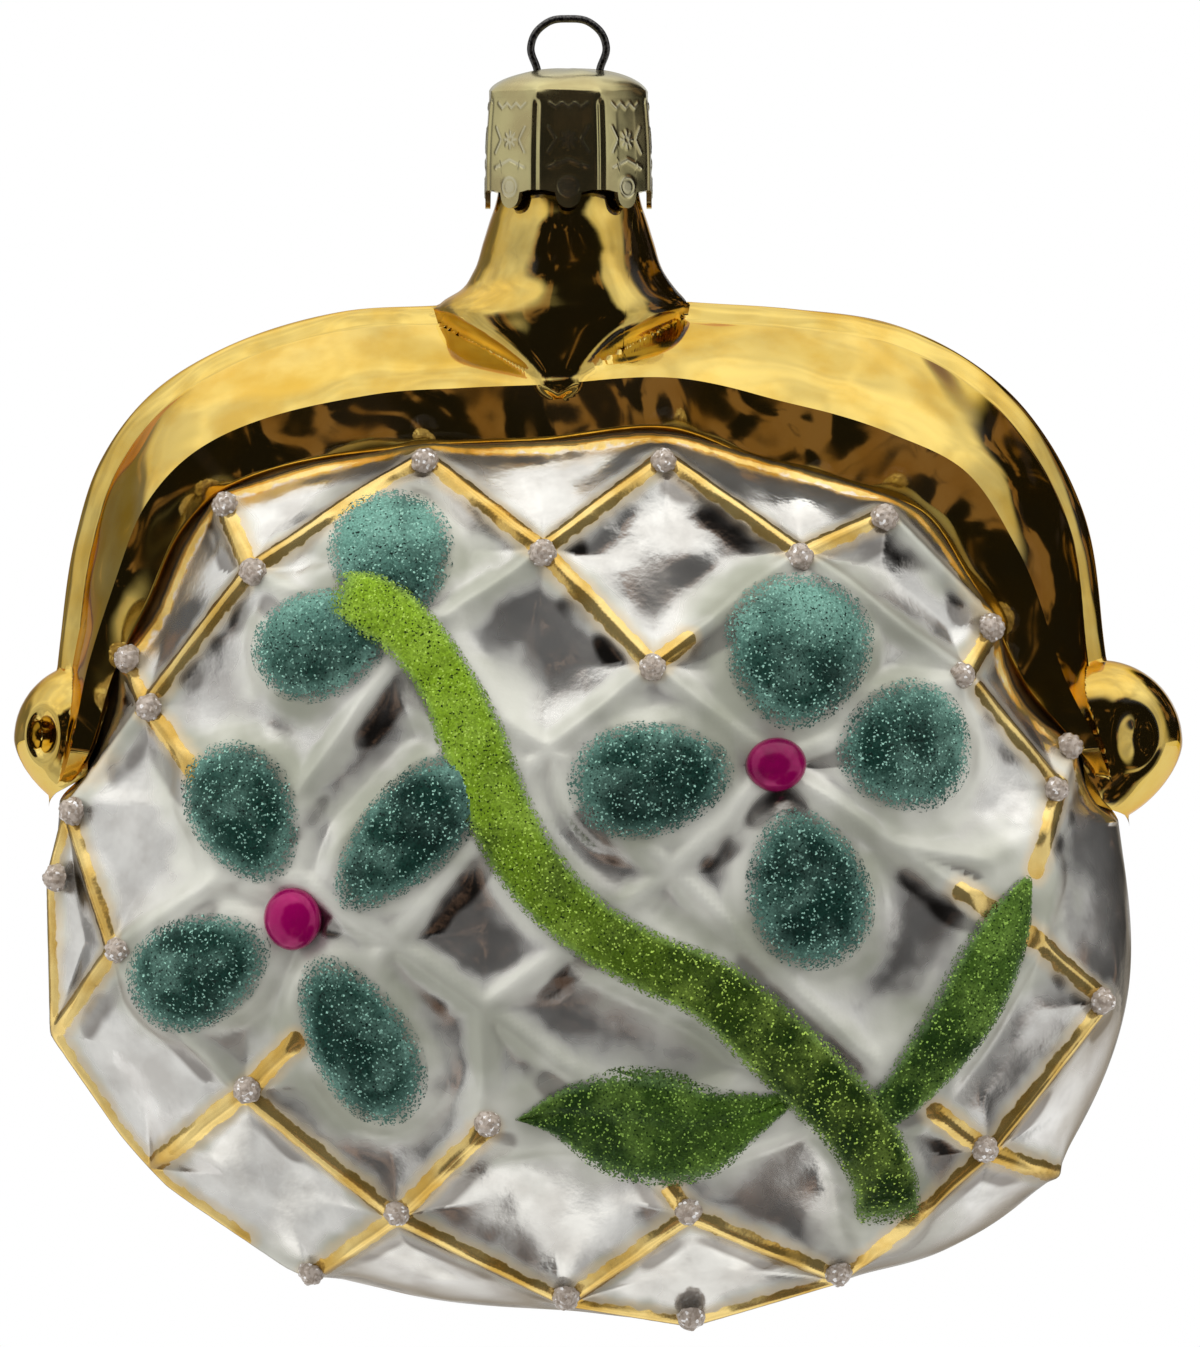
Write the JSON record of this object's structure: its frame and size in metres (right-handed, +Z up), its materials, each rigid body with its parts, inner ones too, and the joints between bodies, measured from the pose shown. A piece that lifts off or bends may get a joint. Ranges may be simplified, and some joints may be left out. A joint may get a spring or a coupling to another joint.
{
  "type": "purse ornament",
  "caption": "Hanging blown glass ornament in the shape of a clasped coin purse, quilted and decked with glitter flowers, with a pressed metal cap and a sprung wire hanger.",
  "frame": {"origin": "inside of the top of the wire loop, where a hook carries the ornament", "axes": "+Z up along the neck, +X across the purse to the right seen from the front, +Y from the front to the back"},
  "size_m": [0.0906, 0.0428, 0.102],
  "materials": {
    "silvered_glass": "blown glass silvered inside, gold lacquer on frame, neck and ridges",
    "cap_metal": "pale brass-coloured pressed sheet, satin",
    "spring_wire": "drawn wire",
    "teal_glitter": "fine glitter in clear glue",
    "green_glitter": "fine glitter in clear glue",
    "magenta_lacquer": "gloss lacquer",
    "frosted_grit": "clear glass micro-beads in glue"
  },
  "bodies": {
    "hanger_wire": {"hanger_wire": "spring_wire"},
    "cap": {"hanger_cap": "cap_metal"},
    "ornament": {"glass_shell": "silvered_glass", "bud_petal_top": "teal_glitter", "bud_petal_side": "teal_glitter", "left_petal_top": "teal_glitter", "left_petal_right": "teal_glitter", "left_petal_side": "teal_glitter", "left_petal_bottom": "teal_glitter", "right_petal_top": "teal_glitter", "right_petal_side": "teal_glitter", "right_petal_bottom": "teal_glitter", "right_petal_left": "teal_glitter", "left_berry": "magenta_lacquer", "right_berry": "magenta_lacquer", "stem": "green_glitter", "side_shoot": "green_glitter", "leaf": "green_glitter", "back_bud_petal_top": "teal_glitter", "back_bud_petal_side": "teal_glitter", "back_left_petal_top": "teal_glitter", "back_left_petal_right": "teal_glitter", "back_left_petal_side": "teal_glitter", "back_left_petal_bottom": "teal_glitter", "back_right_petal_top": "teal_glitter", "back_right_petal_side": "teal_glitter", "back_right_petal_bottom": "teal_glitter", "back_right_petal_left": "teal_glitter", "back_left_berry": "magenta_lacquer", "back_right_berry": "magenta_lacquer", "back_stem": "green_glitter", "back_side_shoot": "green_glitter", "back_leaf": "green_glitter", "bead_01": "frosted_grit", "bead_02": "frosted_grit", "bead_03": "frosted_grit", "bead_04": "frosted_grit", "bead_05": "frosted_grit", "bead_06": "frosted_grit", "bead_07": "frosted_grit", "bead_08": "frosted_grit", "bead_09": "frosted_grit", "bead_10": "frosted_grit", "bead_11": "frosted_grit", "bead_12": "frosted_grit", "bead_13": "frosted_grit", "bead_14": "frosted_grit", "bead_15": "frosted_grit", "bead_16": "frosted_grit", "bead_17": "frosted_grit", "bead_18": "frosted_grit", "bead_19": "frosted_grit", "bead_20": "frosted_grit", "bead_21": "frosted_grit", "bead_22": "frosted_grit", "bead_23": "frosted_grit", "bead_24": "frosted_grit", "bead_25": "frosted_grit", "bead_26": "frosted_grit", "bead_27": "frosted_grit"}
  },
  "joints": [
    {"name": "loop_tilt", "type": "hinge", "parent": "hanger_wire", "child": "cap", "pos_m": [0, 0, -0.0041], "axis": [1, 0, 0], "range_deg": [-6, 6]},
    {"name": "cap_pull", "type": "slide", "parent": "cap", "child": "ornament", "axis": [0, 0, -1], "range_m": [0, 0.03]}
  ]
}
